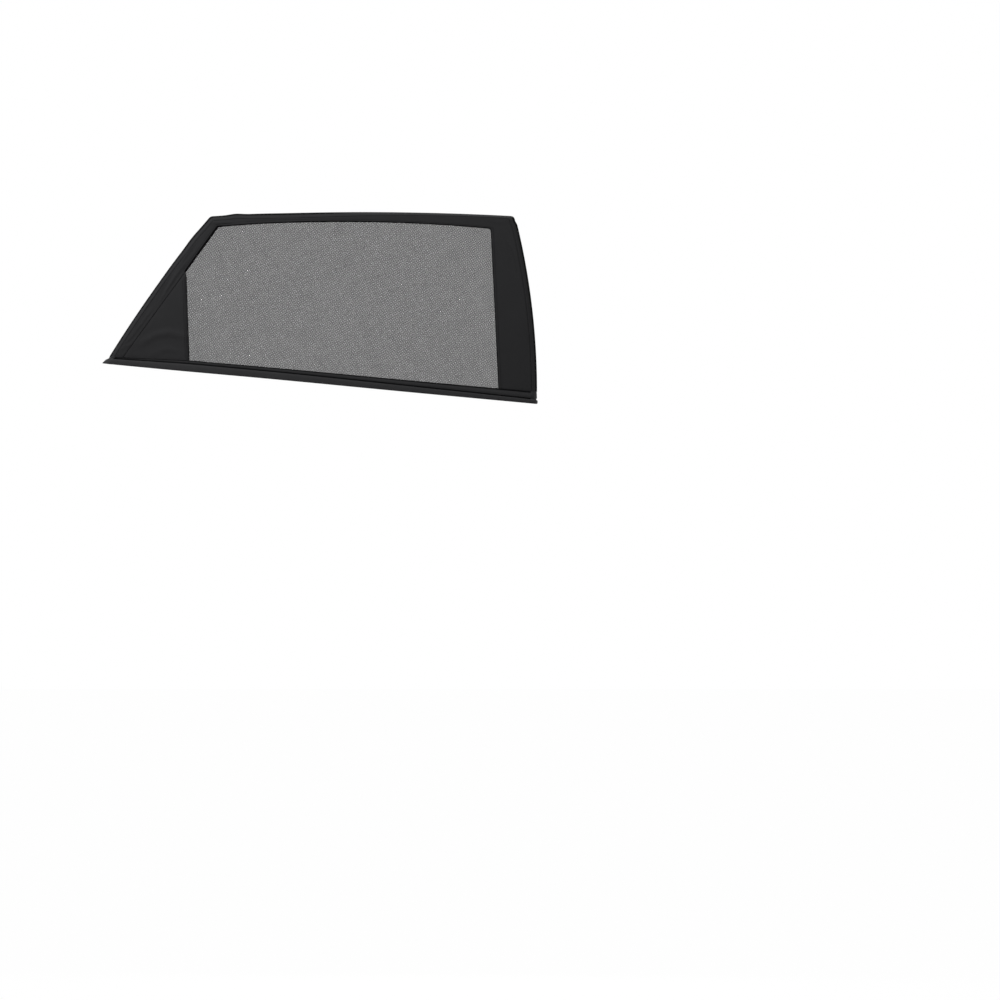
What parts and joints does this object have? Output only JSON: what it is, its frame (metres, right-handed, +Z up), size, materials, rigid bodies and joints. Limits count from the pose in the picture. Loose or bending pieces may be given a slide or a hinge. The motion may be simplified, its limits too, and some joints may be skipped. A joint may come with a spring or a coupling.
{
  "type": "car side window sunshade",
  "caption": "Sock-type sunshade for a car's rear side window: two faces of black stretch cloth with see-through mesh windows, sewn round three edges, with an elastic hem at the open mouth.",
  "frame": {"origin": "where the pocket's top edge hangs on the top of the window frame, on the middle plane between the two faces", "axes": "+X along the car towards the front, -Y out of the outside face, +Z up"},
  "size_m": [0.8925, 0.0532, 0.3939],
  "materials": {
    "stretch_cloth": "matt black knitted stretch cloth",
    "knitted_mesh": "matt black see-through knitted mesh",
    "seam_tape": "woven black tape",
    "elastic": "covered elastic braid"
  },
  "bodies": {
    "root": {"outer_mesh_window": "knitted_mesh", "outer_top_border": "stretch_cloth", "outer_front_border": "stretch_cloth", "outer_rear_border": "stretch_cloth", "outer_rear_gusset": "stretch_cloth", "outer_hem": "stretch_cloth", "inner_mesh_window": "knitted_mesh", "inner_top_border": "stretch_cloth", "inner_front_border": "stretch_cloth", "inner_rear_border": "stretch_cloth", "inner_rear_gusset": "stretch_cloth", "inner_hem": "stretch_cloth", "edge_seam_tape": "seam_tape", "hem_elastic": "elastic"}
  },
  "joints": []
}
